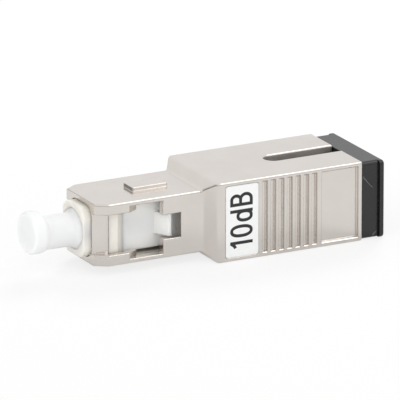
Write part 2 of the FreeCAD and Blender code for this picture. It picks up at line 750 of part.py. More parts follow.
def make_ferrule_collar(doc):
    """The collar bonded on the ferrule, which the spring pushes against the web of the nose."""
    body = new_body(doc, "ferrule_collar")
    inside = d.ferrule_diameter / 2 + d.bond_gap
    outside = d.collar_diameter / 2
    bevel = d.ferrule_bevel
    revolve(body, "collar_ring", [
        (d.collar_front, inside),
        (d.collar_front, outside - bevel),
        (d.collar_front + bevel, outside),
        (d.collar_rear, outside),
        (d.collar_rear, inside),
    ])
    return body


def make_spring(doc):
    """The coil spring between the collar and the seat in the inner body."""
    body = new_body(doc, "spring")
    wire = d.spring_wire / 2
    inset = wire + d.spring_gap
    height = d.spring_length - inset * 2
    along = d.collar_rear + inset
    out = d.collar_diameter / 2 - d.spring_play - wire
    angles = [2 * math.pi * side / WIRE_SIDES for side in range(WIRE_SIDES)]
    sketch = new_sketch(body, "wire_section", "XZ_Plane")
    draw_polygon(sketch, [(along + wire * math.cos(angle), out + wire * math.sin(angle)) for angle in angles])
    coil = body.newObject("PartDesign::AdditiveHelix", "coil")
    coil.Profile = sketch
    coil.ReferenceAxis = (sketch, ["H_Axis"])
    coil.Mode = "height-turns-angle"
    coil.setExpression("Height", height.text)
    coil.setExpression("Turns", d.spring_turns.text)
    return body


def make_split_sleeve(doc):
    """The slotted sleeve that lines up the ferrule with a mating one."""
    body = new_body(doc, "split_sleeve")
    inside = d.split_sleeve_bore / 2
    outside = d.split_sleeve_diameter / 2
    revolve(body, "sleeve_tube", [
        (d.split_sleeve_front, inside),
        (d.split_sleeve_front, outside),
        (d.split_sleeve_rear, outside),
        (d.split_sleeve_rear, inside),
    ])
    slot = new_sketch(body, "slot_outline", "XY_Plane")
    half = d.split_sleeve_slot / 2
    draw_polygon(slot, [
        (d.split_sleeve_front, -half),
        (d.split_sleeve_rear, -half),
        (d.split_sleeve_rear, half),
        (d.split_sleeve_front, half),
    ])
    cut(body, slot, "slot", d.split_sleeve_diameter, forward=False)
    return body


def make_latch_insert(doc):
    """The socket's insert: a flange, the tube that holds the split sleeve, and two hook arms with ears."""
    body = new_body(doc, "latch_insert")
    play = d.core_play * 2
    add_section(
        body, "flange", d.flange_front, d.flange_length,
        d.port_width - play, d.port_height - play, d.port_corner_radius,
    )
    tube = new_sketch(body, "tube_circle", "YZ_Plane", d.flange_front)
    draw_circle(tube, d.zero, d.zero, d.tube_diameter / 2)
    add(body, tube, "tube", d.tube_end - d.flange_front)

    tip = d.bridge_width / 2 - d.hook_bite
    arms = new_sketch(body, "hook_outline", "XY_Plane")
    draw_both_sides(arms, [
        (d.flange_front + d.flange_length / 2, d.hook_inside),
        (d.tooth_front - d.tooth_back, d.hook_inside),
        (d.tooth_front, tip),
        (d.tooth_rear, tip),
        (d.hook_end, d.hook_inside),
        (d.hook_end, d.hook_outside),
        (d.flange_front + d.flange_length / 2, d.hook_outside),
    ])
    add(body, arms, "hook_arms", d.hook_height, symmetric=True)
    ears = new_sketch(body, "ear_outline", "XY_Plane")
    draw_both_sides(ears, [
        (d.tooth_rear, d.hook_outside - d.ear_thickness),
        (d.hook_end, d.hook_outside - d.ear_thickness),
        (d.hook_end, d.hook_outside),
        (d.tooth_rear, d.hook_outside),
    ])
    add(body, ears, "hook_ears", d.window_height - d.ear_play * 2, symmetric=True)

    cut_bore(body, "holder_bore", d.flange_front, d.tube_floor - d.flange_front, d.holder_bore)
    cut_bore(body, "holder_mouth", d.tube_floor, d.holder_lip, d.ferrule_diameter + d.mouth_room * 2)
    return body


def make_dust_cap(doc):
    """The soft cap over the ferrule: a neck sealed in the nose, and a wider head set a little high."""
    body = new_body(doc, "dust_cap")
    open_end = d.cap_entry - d.nose_reach
    head_rear = d.cap_end + d.cap_head_length
    seal_front = d.cap_seal_depth - d.nose_reach
    neck = d.cap_neck_radius
    seal = d.recess_diameter / 2 - d.cap_seal_play
    bore = d.ferrule_diameter / 2 + d.cap_play
    bore_end = -(d.ferrule_reach + d.cap_end_gap)
    sketch = new_sketch(body, "head_circle", "YZ_Plane", d.cap_end)
    draw_circle(sketch, d.zero, d.cap_head_offset, d.cap_head_radius)
    add(body, sketch, "head", d.cap_head_length)
    round_edges(body, "head_edge", d.cap_edge_radius, lambda edge: across(edge, d.cap_end))
    rim = new_sketch(body, "shoulder_rim", "YZ_Plane", head_rear)
    draw_circle(rim, d.zero, d.cap_head_offset, d.cap_head_radius)
    foot = new_sketch(body, "shoulder_foot", "YZ_Plane", head_rear + d.cap_shoulder_length)
    draw_circle(foot, d.zero, d.zero, neck)
    shoulder = body.newObject("PartDesign::AdditiveLoft", "shoulder")
    shoulder.Profile = rim
    shoulder.Sections = [foot]
    shoulder.Ruled = True
    revolve(body, "neck", [
        (head_rear + d.cap_shoulder_length, d.zero),
        (head_rear + d.cap_shoulder_length, neck),
        (seal_front, neck),
        (seal_front, seal),
        (open_end, seal),
        (open_end, d.zero),
    ])
    cut_bore(body, "cap_bore", bore_end, open_end - bore_end, bore * 2)
    return body


def make_rear_dust_plug(doc):
    """The hollow plug that closes the socket, with a finger lip on each side of its block."""
    body = new_body(doc, "rear_dust_plug")
    bottom = d.plug_bottom_inset - d.body_height / 2
    top = d.body_height / 2 - d.plug_top_inset
    block_side = d.body_width / 2 - d.plug_side_inset
    block = new_sketch(body, "block_section", "YZ_Plane", d.plug_front)
    draw_rectangle(block, (-block_side, bottom), (block_side, top), d.plug_edge_radius)
    add(body, block, "block", d.plug_length)
    lip_side = d.body_width / 2
    lips = new_sketch(body, "lip_section", "YZ_Plane", d.plug_end - d.plug_lip_length)
    draw_rectangle(lips, (-lip_side, bottom), (lip_side, top), d.plug_edge_radius)
    add(body, lips, "finger_lips", d.plug_lip_length)
    round_edges(body, "end_edge", d.plug_edge_radius / 2, lambda edge: across(edge, d.plug_end))
    skirt_width = d.port_width - d.plug_skirt_play * 2
    skirt_height = d.port_height - d.plug_skirt_play * 2
    add_section(
        body, "skirt", d.skirt_front, d.plug_front - d.skirt_front,
        skirt_width, skirt_height, d.port_corner_radius,
    )
    cut_section(
        body, "hollow", d.skirt_front, d.plug_end - d.plug_end_wall - d.skirt_front,
        skirt_width - d.plug_skirt_wall * 2, skirt_height - d.plug_skirt_wall * 2, d.port_corner_radius,
    )
    return body


MAKERS = (
    make_housing,
    make_label,
    make_plug_frame,
    make_inner_body,
    make_ferrule,
    make_attenuating_fibre,
    make_ferrule_collar,
    make_spring,
    make_split_sleeve,
    make_latch_insert,
    make_dust_cap,
    make_rear_dust_plug,
)


def check(doc, bodies):
    """Stop at any object that failed, and at any sub-part without one valid solid."""
    for item in doc.Objects:
        if {"Invalid", "Error"} & set(item.State):
            raise ValueError(f"{item.Label} failed: {item.State}")
    for body in bodies:
        if body.Shape.isNull() or not body.Shape.isValid() or len(body.Shape.Solids) != 1:
            raise ValueError(f"{body.Label} is not one valid solid")


def main():
    """Build the document, check it, and write a file for each sub-part."""
    doc = FreeCAD.newDocument("attenuator")
    make_sheet(doc)
    bodies = [maker(doc) for maker in MAKERS]
    doc.recompute()
    check(doc, bodies)
    os.makedirs("parts", exist_ok=True)
    for body in bodies:
        body.Shape.exportStep(f"parts/{body.Label}.step")
        box = body.Shape.BoundBox
        print(f"{body.Label}: {body.Shape.Volume:.3f} mm3, X {box.XMin:.2f} to {box.XMax:.2f}")


d = Drawing(SIZES)
main()
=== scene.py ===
"""Looks of the fixed fibre optic attenuator: finishes, dust cap, spring, printed rating and studio.

Everything is in metres in the part's own frame: X along the optical axis from the plug end to the socket end,
Z up to the key, and the label on the -Y side.
"""

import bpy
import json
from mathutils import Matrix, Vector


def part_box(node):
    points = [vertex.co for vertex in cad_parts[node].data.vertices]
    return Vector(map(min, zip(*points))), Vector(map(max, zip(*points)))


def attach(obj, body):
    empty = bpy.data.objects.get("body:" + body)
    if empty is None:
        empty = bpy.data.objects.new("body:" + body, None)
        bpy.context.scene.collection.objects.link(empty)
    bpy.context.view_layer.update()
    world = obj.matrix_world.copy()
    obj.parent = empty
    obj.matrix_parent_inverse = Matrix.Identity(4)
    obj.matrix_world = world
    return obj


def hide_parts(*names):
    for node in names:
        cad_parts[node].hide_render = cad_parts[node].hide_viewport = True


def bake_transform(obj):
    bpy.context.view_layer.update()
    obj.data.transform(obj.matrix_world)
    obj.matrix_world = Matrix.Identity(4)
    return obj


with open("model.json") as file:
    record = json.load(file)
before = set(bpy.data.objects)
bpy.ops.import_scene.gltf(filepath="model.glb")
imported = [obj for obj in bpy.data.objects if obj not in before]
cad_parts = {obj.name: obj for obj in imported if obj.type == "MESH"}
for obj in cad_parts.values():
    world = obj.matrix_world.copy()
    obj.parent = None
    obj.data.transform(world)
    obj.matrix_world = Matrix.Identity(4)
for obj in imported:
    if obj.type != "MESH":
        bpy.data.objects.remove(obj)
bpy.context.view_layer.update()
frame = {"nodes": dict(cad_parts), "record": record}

import json
import math

import bpy
import numpy as np
from mathutils import Vector

MM = 0.001

# The photograph's view: the camera's direction in degrees, its distance, the point it looks at and the width it sees.
VIEW_AZIMUTH = -27.46
VIEW_ELEVATION = 17.62
VIEW_DISTANCE = 900 * MM
VIEW_TARGET = Vector((0.772, -0.037, 5.796)) * MM
VIEW_WIDTH = 45.893 * MM

# The dust cap along its axis from the head's end: where the head's straight part and its shoulder end, where the
# flare to the seal begins and the seal in the nose starts, and where the bore ends.
CAP_HEAD_END = 1.55 * MM
CAP_NECK_START = 2.22 * MM
CAP_FLARE_START = 5.5 * MM
CAP_SEAL_START = 6.0 * MM
CAP_BORE_END = 2.75 * MM
CAP_HEAD_RADIUS = 2.5 * MM
CAP_HEAD_RISE = 0.28 * MM
CAP_NECK_RADIUS = 1.97 * MM
CAP_SEAL_RADIUS = 2.37 * MM
CAP_BORE_RADIUS = 1.27 * MM
CAP_DOME = 0.06 * MM
# How far the rounding of each corner of its outline reaches, and how finely the cap is meshed along and round it.
CAP_ROUNDINGS = np.array([0.35, 0.25, 0.3, 0.3, 0.1, 0.2, 0.2, 0.1]) * MM
CAP_SPACING = 0.15 * MM
CAP_SIDES = 96
BEND_POINTS = 9

# The ferrule's coil spring: its wire, its turns, and the points along a turn and round the wire.
SPRING_WIRE = 0.3 * MM
SPRING_TURNS = 5
TURN_POINTS = 40
WIRE_SIDES = 12

# Where the keyway's walls lie in the body: the middle and the reach to either side of it along each axis.
KEYWAY_WALLS = {"X": (14 * MM, 6 * MM), "Y": (0.0, 1.3 * MM), "Z": (8.65 * MM, 0.7 * MM)}
KEYWAY_ROUGHNESS = 0.52

# The rating printed up the label: the height of its characters along X, its place along X, the first stroke's
# thickness of ink, and the share of it by which each further stroke is thicker.
RATING_HEIGHT = 2.9 * MM
RATING_SHIFT = -0.1 * MM
INK_THICKNESS = 0.006 * MM
INK_STEP = 0.15
# In shares of that height: the strokes' width, and the characters' left edges.
STROKE = 0.13
ONE_LEFT, NOUGHT_LEFT, DECI_LEFT, BEL_LEFT = 0.0, 0.45, 1.08, 1.74
# The characters' round forms: the power that makes an oval a little squarer, a bow's reach against half its height,
# and the points round an oval and along a bow.
OVAL_POWER = 0.85
BOW_REACH = 0.85
OVAL_POINTS = 49
BOW_POINTS = 25

# Noise stays within this span nearly everywhere.
NOISE_SPAN = {"From Min": 0.3, "From Max": 0.7}

# The floor's half width, and its shares of plain white where it is seen and where it is mirrored.
FLOOR_HALF = 3.0
FLOOR_WHITE_SEEN = 0.75
FLOOR_WHITE_MIRRORED = 0.25

# The studio by direction. A side is judged by the cosine to its direction, and a height is a direction's Z.
# In reflections it is dim at the camera's left, darkest towards the horizon, and a trace darker low down elsewhere.
DIM_LEFT = (-0.885, 0.465, 0.0)
DIM_EDGE = {"From Min": 0.635, "From Max": 0.7, "To Min": 1.0}
DUSK = {"From Min": 0.2, "From Max": 0.33, "To Min": 0.04, "To Max": 0.6}
LOW_SKY = {"From Min": 0.3, "From Max": 0.48, "To Min": 0.95, "To Max": 1.0}
# In front there is a small glow, and a dark gap between the table's edge and the light tent, which ends at the back.
FRONT_GLOW = (0.4395, -0.8457, 0.3026)
GLOW_EDGE = {"From Min": 0.983, "From Max": 0.993, "To Min": 0.0, "To Max": 0.6}
GAP_HEIGHT = 0.1
GAP_EDGE = {"From Min": 0.08, "From Max": 0.11, "To Min": 0.22, "To Max": 1.0}
GAP_BACK = {"From Min": -0.2, "From Max": 0.1, "To Min": 0.0, "To Max": 1.0}
# Its light on matt surfaces is strongest from the front left and low, where the table throws it up.
FILL_SIDE = (-0.58, -0.72, -0.38)
FILL = {"From Min": -0.2, "From Max": 1.0, "To Min": 0.56, "To Max": 2.0}

# The soft boxes, in metres and watts. The one at the back lights without showing in reflections.
OVERHEAD_BOX = {"place": (0.31, -0.21, 0.6), "size": 0.34, "power": 0.58, "mirrored": True}
BACK_BOX = {"place": (0.4, 0.45, 0.5), "size": 0.3, "power": 2.2, "mirrored": False}


def linear(hex_colour):
    """An sRGB hex colour as linear red, green, blue and alpha."""
    values = [int(hex_colour[place:place + 2], 16) / 255 for place in (0, 2, 4)]
    return [v / 12.92 if v <= 0.04045 else ((v + 0.055) / 1.055) ** 2.4 for v in values] + [1.0]


def add_node(tree, kind, inputs=None, **settings):
    """A node with its settings and inputs.

    An input is a value, a socket to link from, or a node whose first live output is linked.
    """
    node = tree.nodes.new(kind)
    for name, value in settings.items():
        setattr(node, name, value)
    for name, value in (inputs or {}).items():
        if isinstance(value, bpy.types.Node):
            value = next(socket for socket in value.outputs if socket.enabled)
        if isinstance(value, bpy.types.NodeSocket):
            tree.links.new(value, node.inputs[name])
        else:
            node.inputs[name].default_value = value
    return node


def new_material(name):
    """An empty material, its node tree, and the object coordinates that its patterns read."""
    material = bpy.data.materials.new(name)
    material.use_nodes = True
    tree = material.node_tree
    tree.nodes.clear()
    return material, tree, add_node(tree, "ShaderNodeTexCoord").outputs["Object"]


def nickel_plated_zinc():
    """Zinc die-casting, tumbled and nickel-plated: pale warm metal with soft, slightly wavy reflections."""
    material, tree, place = new_material("nickel_plated_zinc")
    # Tumbling leaves slow swells of about 7 mm, and the plate's tone drifts in patches of about 4 mm.
    swells = add_node(tree, "ShaderNodeTexNoise", {"Vector": place, "Scale": 1 / (7 * MM), "Detail": 1.0})
    patches = add_node(tree, "ShaderNodeTexNoise", {"Vector": place, "Scale": 1 / (4 * MM), "Detail": 3.0})
    share = add_node(tree, "ShaderNodeMapRange", {"Value": patches, **NOISE_SPAN})
    tone = add_node(
        tree, "ShaderNodeMix", {0: share, 6: linear("DBD5CF"), 7: linear("D6D0CA")}, data_type="RGBA"
    )
    # The plate's grain is about 0.02 mm and is drawn at 0.15 mm, so that it shows.
    grain = add_node(tree, "ShaderNodeTexNoise", {"Vector": place, "Scale": 1 / (0.15 * MM), "Detail": 2.0})
    tumbled = add_node(
        tree, "ShaderNodeMapRange", {"Value": grain, **NOISE_SPAN, "To Min": 0.15, "To Max": 0.2}
    )
    # The keyway's walls keep the cutter's dull finish, which tumbling doesn't reach.
    spot = add_node(tree, "ShaderNodeSeparateXYZ", {"Vector": place})
    milled = 1.0
    for axis, (middle, reach) in KEYWAY_WALLS.items():
        inside = add_node(
            tree, "ShaderNodeMath", {0: spot.outputs[axis], 1: middle, 2: reach}, operation="COMPARE"
        )
        milled = add_node(tree, "ShaderNodeMath", {0: inside, 1: milled}, operation="MULTIPLY")
    gloss = add_node(tree, "ShaderNodeMix", {0: milled, 2: tumbled, 3: KEYWAY_ROUGHNESS}, data_type="FLOAT")
    # Tumbling also eases every edge by about 0.2 mm, so each shows as a fine light or dark line.
    eased = add_node(tree, "ShaderNodeBevel", {"Radius": 0.2 * MM}, samples=8)
    relief = add_node(
        tree, "ShaderNodeBump", {"Height": swells, "Distance": 0.006 * MM, "Strength": 1.0, "Normal": eased}
    )
    shader = add_node(
        tree, "ShaderNodeBsdfPrincipled",
        {"Base Color": tone, "Metallic": 1.0, "Roughness": gloss, "Normal": relief},
    )
    add_node(tree, "ShaderNodeOutputMaterial", {"Surface": shader})
    return material


def moulded_polyester(name, pale, shade):
    """Glass-filled polyester, moulded: opaque and even, with a faint sheen and the mould's fine spark texture."""
    material, tree, place = new_material(name)
    clouds = add_node(tree, "ShaderNodeTexNoise", {"Vector": place, "Scale": 1 / (3 * MM), "Detail": 2.0})
    share = add_node(tree, "ShaderNodeMapRange", {"Value": clouds, **NOISE_SPAN})
    tone = add_node(tree, "ShaderNodeMix", {0: share, 6: linear(pale), 7: linear(shade)}, data_type="RGBA")
    # Spark texture of about 0.03 mm, drawn at 0.12 mm so that it shows.
    sparks = add_node(tree, "ShaderNodeTexNoise", {"Vector": place, "Scale": 1 / (0.12 * MM), "Detail": 2.0})
    gloss = add_node(tree, "ShaderNodeMapRange", {"Value": sparks, "To Min": 0.38, "To Max": 0.52})
    relief = add_node(tree, "ShaderNodeBump", {"Height": sparks, "Distance": 0.002 * MM, "Strength": 1.0})
    shader = add_node(
        tree, "ShaderNodeBsdfPrincipled",
        {
            "Base Color": tone, "Roughness": gloss, "Normal": relief, "IOR": 1.55,
            "Subsurface Weight": 0.8, "Subsurface Radius": (1.0, 0.97, 0.88), "Subsurface Scale": 1.3 * MM,
        },
    )
    add_node(tree, "ShaderNodeOutputMaterial", {"Surface": shader})
    return material


def soft_polyethylene():
    """Low-density polyethylene, moulded: white, waxy, and letting light in round its edges."""
    material, tree, place = new_material("soft_polyethylene")
    clouds = add_node(tree, "ShaderNodeTexNoise", {"Vector": place, "Scale": 1 / (2.5 * MM), "Detail": 2.0})
    share = add_node(tree, "ShaderNodeMapRange", {"Value": clouds, **NOISE_SPAN})
    tone = add_node(
        tree, "ShaderNodeMix", {0: share, 6: linear("EFF0F0"), 7: linear("EBECEC")}, data_type="RGBA"
    )
    # The mould's skin of about 0.05 mm, drawn at 0.2 mm so that it shows.
    skin = add_node(tree, "ShaderNodeTexNoise", {"Vector": place, "Scale": 1 / (0.2 * MM), "Detail": 2.0})
    gloss = add_node(tree, "ShaderNodeMapRange", {"Value": skin, "To Min": 0.34, "To Max": 0.48})
    relief = add_node(tree, "ShaderNodeBump", {"Height": skin, "Distance": 0.002 * MM, "Strength": 1.0})
    shader = add_node(
        tree, "ShaderNodeBsdfPrincipled",
        {
            "Base Color": tone, "Roughness": gloss, "Normal": relief, "IOR": 1.51,
            "Subsurface Weight": 0.7, "Subsurface Radius": (1.0, 0.98, 0.95), "Subsurface Scale": 1.2 * MM,
        },
    )
    add_node(tree, "ShaderNodeOutputMaterial", {"Surface": shader})
    return material


def black_vinyl():
    """Soft vinyl, moulded: near black, with a broad grey shine on its top and a few pale scuffs."""
    material, tree, place = new_material("black_vinyl")
    clouds = add_node(tree, "ShaderNodeTexNoise", {"Vector": place, "Scale": 1 / (2 * MM), "Detail": 2.0})
    share = add_node(tree, "ShaderNodeMapRange", {"Value": clouds, **NOISE_SPAN})
    plain = add_node(
        tree, "ShaderNodeMix", {0: share, 6: linear("0F0F11"), 7: linear("141417")}, data_type="RGBA"
    )
    # Scuffs are hairlines of about 0.03 mm, drawn 0.06 mm wide so that they show: level lines of a slow noise that
    # turns every 4 mm, kept only in the few places where a second noise of about 2.5 mm is highest.
    wander = add_node(tree, "ShaderNodeTexNoise", {"Vector": place, "Scale": 1 / (4 * MM), "Detail": 1.0})
    away = add_node(tree, "ShaderNodeMath", {0: wander, 1: 0.5, 2: 0.006}, operation="COMPARE")
    spots = add_node(tree, "ShaderNodeTexNoise", {"Vector": place, "Scale": 1 / (2.5 * MM), "Detail": 0.0})
    few = add_node(tree, "ShaderNodeMapRange", {"Value": spots, "From Min": 0.67, "From Max": 0.73})
    scuff = add_node(tree, "ShaderNodeMath", {0: away, 1: few}, operation="MULTIPLY")
    tone = add_node(tree, "ShaderNodeMix", {0: scuff, 6: plain, 7: linear("6A6A6C")}, data_type="RGBA")
    # The mould's texture of about 0.05 mm, drawn at 0.15 mm so that it shows.
    skin = add_node(tree, "ShaderNodeTexNoise", {"Vector": place, "Scale": 1 / (0.15 * MM), "Detail": 2.0})
    gloss = add_node(tree, "ShaderNodeMapRange", {"Value": skin, "To Min": 0.21, "To Max": 0.31})
    relief = add_node(tree, "ShaderNodeBump", {"Height": skin, "Distance": 0.002 * MM, "Strength": 1.0})
    shader = add_node(
        tree, "ShaderNodeBsdfPrincipled", {"Base Color": tone, "Roughness": gloss, "Normal": relief, "IOR": 1.53}
    )
    add_node(tree, "ShaderNodeOutputMaterial", {"Surface": shader})
    return material


def coated_label_paper():
    """Coated paper, calendered: cool white and matt, with its fibres just showing."""
    material, tree, place = new_material("coated_label_paper")
    # Fibres of about 0.03 mm, drawn at 0.25 mm so that they show.
    fibres = add_node(tree, "ShaderNodeTexNoise", {"Vector": place, "Scale": 1 / (0.25 * MM), "Detail": 4.0})
    share = add_node(tree, "ShaderNodeMapRange", {"Value": fibres, **NOISE_SPAN})
    tone = add_node(
        tree, "ShaderNodeMix", {0: share, 6: linear("F0F1F0"), 7: linear("EBEDEC")}, data_type="RGBA"
    )
    relief = add_node(tree, "ShaderNodeBump", {"Height": fibres, "Distance": 0.002 * MM, "Strength": 1.0})
    shader = add_node(
        tree, "ShaderNodeBsdfPrincipled", {"Base Color": tone, "Roughness": 0.55, "Normal": relief}
    )
    add_node(tree, "ShaderNodeOutputMaterial", {"Surface": shader})
    return material


def printed_ink():
    """Thermal-transfer ink: black, thin and slightly uneven."""
    material, tree, place = new_material("printed_ink")
    clouds = add_node(tree, "ShaderNodeTexNoise", {"Vector": place, "Scale": 1 / (0.4 * MM), "Detail": 2.0})
    tone = add_node(
        tree, "ShaderNodeMix", {0: clouds, 6: linear("18181B"), 7: linear("232327")}, data_type="RGBA"
    )
    gloss = add_node(tree, "ShaderNodeMapRange", {"Value": clouds, "To Min": 0.4, "To Max": 0.55})
    shader = add_node(tree, "ShaderNodeBsdfPrincipled", {"Base Color": tone, "Roughness": gloss})
    add_node(tree, "ShaderNodeOutputMaterial", {"Surface": shader})
    return material


def ground_zirconia():
    """Zirconia, ground and polished: dense white ceramic with a hard gloss."""
    material, tree, place = new_material("ground_zirconia")
    clouds = add_node(tree, "ShaderNodeTexNoise", {"Vector": place, "Scale": 1 / (1.5 * MM), "Detail": 2.0})
    tone = add_node(
        tree, "ShaderNodeMix", {0: clouds, 6: linear("F3F1EC"), 7: linear("EBE9E3")}, data_type="RGBA"
    )
    gloss = add_node(tree, "ShaderNodeMapRange", {"Value": clouds, "To Min": 0.1, "To Max": 0.2})
    shader = add_node(
        tree, "ShaderNodeBsdfPrincipled",
        {
            "Base Color": tone, "Roughness": gloss, "IOR": 2.15,
            "Subsurface Weight": 0.2, "Subsurface Radius": (0.6, 0.5, 0.4), "Subsurface Scale": 0.5 * MM,
        },
    )
    add_node(tree, "ShaderNodeOutputMaterial", {"Surface": shader})
    return material


def drawn_steel():
    """Stainless steel, drawn or turned: grey metal whose fine lines scatter its shine."""
    material, tree, place = new_material("drawn_steel")
    # Tool lines of about 0.02 mm, drawn at 0.1 mm so that they show.
    lines = add_node(tree, "ShaderNodeTexNoise", {"Vector": place, "Scale": 1 / (0.1 * MM), "Detail": 2.0})
    tone = add_node(
        tree, "ShaderNodeMix", {0: lines, 6: linear("C0BFBD"), 7: linear("A8A7A5")}, data_type="RGBA"
    )
    gloss = add_node(tree, "ShaderNodeMapRange", {"Value": lines, "To Min": 0.2, "To Max": 0.36})
    shader = add_node(tree, "ShaderNodeBsdfPrincipled", {"Base Color": tone, "Metallic": 1.0, "Roughness": gloss})
    add_node(tree, "ShaderNodeOutputMaterial", {"Surface": shader})
    return material


def doped_glass():
    """Doped silica, drawn to a fibre: clear glass with a faint cool tint."""
    material, tree, place = new_material("doped_glass")
    clouds = add_node(tree, "ShaderNodeTexNoise", {"Vector": place, "Scale": 1 / (1 * MM), "Detail": 2.0})
    tone = add_node(
        tree, "ShaderNodeMix", {0: clouds, 6: linear("E8F0F4"), 7: linear("DCE6EB")}, data_type="RGBA"
    )
    shader = add_node(
        tree, "ShaderNodeBsdfPrincipled",
        {"Base Color": tone, "Roughness": 0.05, "Transmission Weight": 1.0, "IOR": 1.46},
    )
    add_node(tree, "ShaderNodeOutputMaterial", {"Surface": shader})
    return material


def finish_nodes():
    """Give each CAD node its finish."""
    zirconia = ground_zirconia()
    steel = drawn_steel()
    ivory = moulded_polyester("ivory_polyester", "F2EDE3", "EBE6DB")
    finishes = {
        "housing": nickel_plated_zinc(),
        "label": coated_label_paper(),
        "plug_frame": ivory,
        "latch_insert": ivory,
        "inner_body": moulded_polyester("white_polyester", "F7F7F3", "F1F1ED"),
        "ferrule": zirconia,
        "split_sleeve": zirconia,
        "ferrule_collar": steel,
        "spring": steel,
        "attenuating_fibre": doped_glass(),
        "rear_dust_plug": black_vinyl(),
    }
    for node, material in finishes.items():
        slots = frame["nodes"][node].data.materials
        slots.clear()
        slots.append(material)


def place_mesh(name, points, faces, material, smooth):
    """An object at the origin whose mesh holds the points and faces."""
    mesh = bpy.data.meshes.new(name)
    mesh.from_pydata(points.tolist(), [], faces)
    mesh.polygons.foreach_set("use_smooth", np.full(len(mesh.polygons), smooth))
    mesh.materials.append(material)
    mesh.update()
    piece = bpy.data.objects.new(name, mesh)
    bpy.context.scene.collection.objects.link(piece)
    return piece


def rounded_outline(corners, cuts, spacing):
    """Points along an open outline with its corners rounded off, no further apart than the spacing.

    A corner C gives way to the parabola (1 - t)^2 A + 2t(1 - t) C + t^2 B, where A and B lie a cut's length before
    and after it. Further points are then read off along the outline's length.
    """
    corners = np.array(corners)
    cuts = np.array(cuts)[:, None]
    middle = corners[1:-1]
    before = corners[:-2] - middle
    after = corners[2:] - middle
    start = middle + before / np.linalg.norm(before, axis=1, keepdims=True) * cuts
    end = middle + after / np.linalg.norm(after, axis=1, keepdims=True) * cuts
    t = np.linspace(0, 1, BEND_POINTS)[:, None]
    curves = (1 - t) ** 2 * start[:, None] + 2 * t * (1 - t) * middle[:, None] + t ** 2 * end[:, None]
    outline = np.concatenate([corners[:1], curves.reshape(-1, 2), corners[-1:]])
    lengths = np.concatenate([[0], np.cumsum(np.linalg.norm(np.diff(outline, axis=0), axis=1))])
    wanted = np.union1d(lengths, np.arange(0, lengths[-1], spacing))
    return np.interp(wanted, lengths, outline[:, 0]), np.interp(wanted, lengths, outline[:, 1])


def tube(rings, front, back):
    """Points and faces of a surface through rings of points, closed at either end by a fan round one more point.

    Neighbouring rings are joined point by point with quads, and each ring's last point is followed by its first.
    """
    count, sides = rings.shape[:2]
    spot = np.arange(sides)
    following = (spot + 1) % sides
    first = np.arange(count - 1)[:, None] * sides
    quads = np.stack([first + spot, first + sides + spot, first + sides + following, first + following], 2)
    tail = (count - 1) * sides
    pole = np.full(sides, count * sides)
    front_fan = np.stack([pole, spot, following], 1)
    back_fan = np.stack([pole + 1, tail + following, tail + spot], 1)
    points = np.vstack([rings.reshape(-1, 3), front, back])
    return points, quads.reshape(-1, 4).tolist() + front_fan.tolist() + back_fan.tolist()


def make_dust_cap():
    """The soft cap as circles across X, from the middle of its end face over head, neck and seal into its bore.

    The outline gives each circle's depth and radius: behind the neck it flares to the seal, which fills the nose.
    The circles' centres lie above the axis in the head and come down to it in a straight line along the shoulder,
    so the head stands further out above than below.
    """
    low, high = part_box("dust_cap")
    axis_height = next(m for m in frame["record"]["mounts"] if m["name"] == "plug_end")["pos_m"][2]
    length = high.x - low.x
    corners = [
        (0.0, 0.0),
        (CAP_DOME, CAP_HEAD_RADIUS),
        (CAP_HEAD_END, CAP_HEAD_RADIUS),
        (CAP_NECK_START, CAP_NECK_RADIUS),
        (CAP_FLARE_START, CAP_NECK_RADIUS),
        (CAP_SEAL_START, CAP_SEAL_RADIUS),
        (length, CAP_SEAL_RADIUS),
        (length, CAP_BORE_RADIUS),
        (CAP_BORE_END, CAP_BORE_RADIUS),
        (CAP_BORE_END, 0.0),
    ]
    depths, radii = rounded_outline(corners, CAP_ROUNDINGS, CAP_SPACING)
    sink = np.interp(depths, [CAP_HEAD_END, CAP_NECK_START], [0, 1])
    centres = axis_height + CAP_HEAD_RISE * (1 - sink)
    turn = np.arange(CAP_SIDES) * 2 * math.pi / CAP_SIDES
    x = np.repeat(low.x + depths[:, None], CAP_SIDES, 1)
    y = radii[:, None] * np.sin(turn)
    z = centres[:, None] + radii[:, None] * np.cos(turn)
    rings = np.stack([x, y, z], 2)
    points, faces = tube(rings[1:-1], rings[0, 0], rings[-1, 0])
    cap = place_mesh("dust_cap_skin", points, faces, soft_polyethylene(), True)
    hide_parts("dust_cap")
    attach(cap, "front_cover")


def make_spring():
    """The coil spring as circles carried along a helix between the collar and its seat.

    The helix runs evenly along X while it turns about the axis. Each circle of the wire is spanned by the direction
    away from the axis and by the one at right angles to that and to the helix. Its ends are closed by fans.
    """
    low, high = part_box("spring")
    axis_height = (low.z + high.z) / 2
    coil_radius = (high.y - low.y - SPRING_WIRE) / 2
    rise = high.x - low.x - SPRING_WIRE
    turn = np.linspace(0, 2 * math.pi * SPRING_TURNS, SPRING_TURNS * TURN_POINTS + 1)
    level = np.zeros_like(turn)
    away = np.stack([level, np.sin(turn), np.cos(turn)], 1)
    onward = np.stack([level + rise / turn[-1], coil_radius * np.cos(turn), -coil_radius * np.sin(turn)], 1)
    onward /= np.linalg.norm(onward, axis=1, keepdims=True)
    across = np.cross(away, onward)
    middles = away * coil_radius + (low.x + SPRING_WIRE / 2, 0, axis_height)
    middles[:, 0] += rise * turn / turn[-1]
    round_wire = (np.arange(WIRE_SIDES) * 2 * math.pi / WIRE_SIDES)[None, :, None]
    circles = away[:, None] * np.cos(round_wire) + across[:, None] * np.sin(round_wire)
    points, faces = tube(middles[:, None] + circles * SPRING_WIRE / 2, middles[0], middles[-1])
    steel = frame["nodes"]["spring"].data.materials[0]
    coil = place_mesh("spring_coil", points, faces, steel, True)
    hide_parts("spring")
    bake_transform(coil)


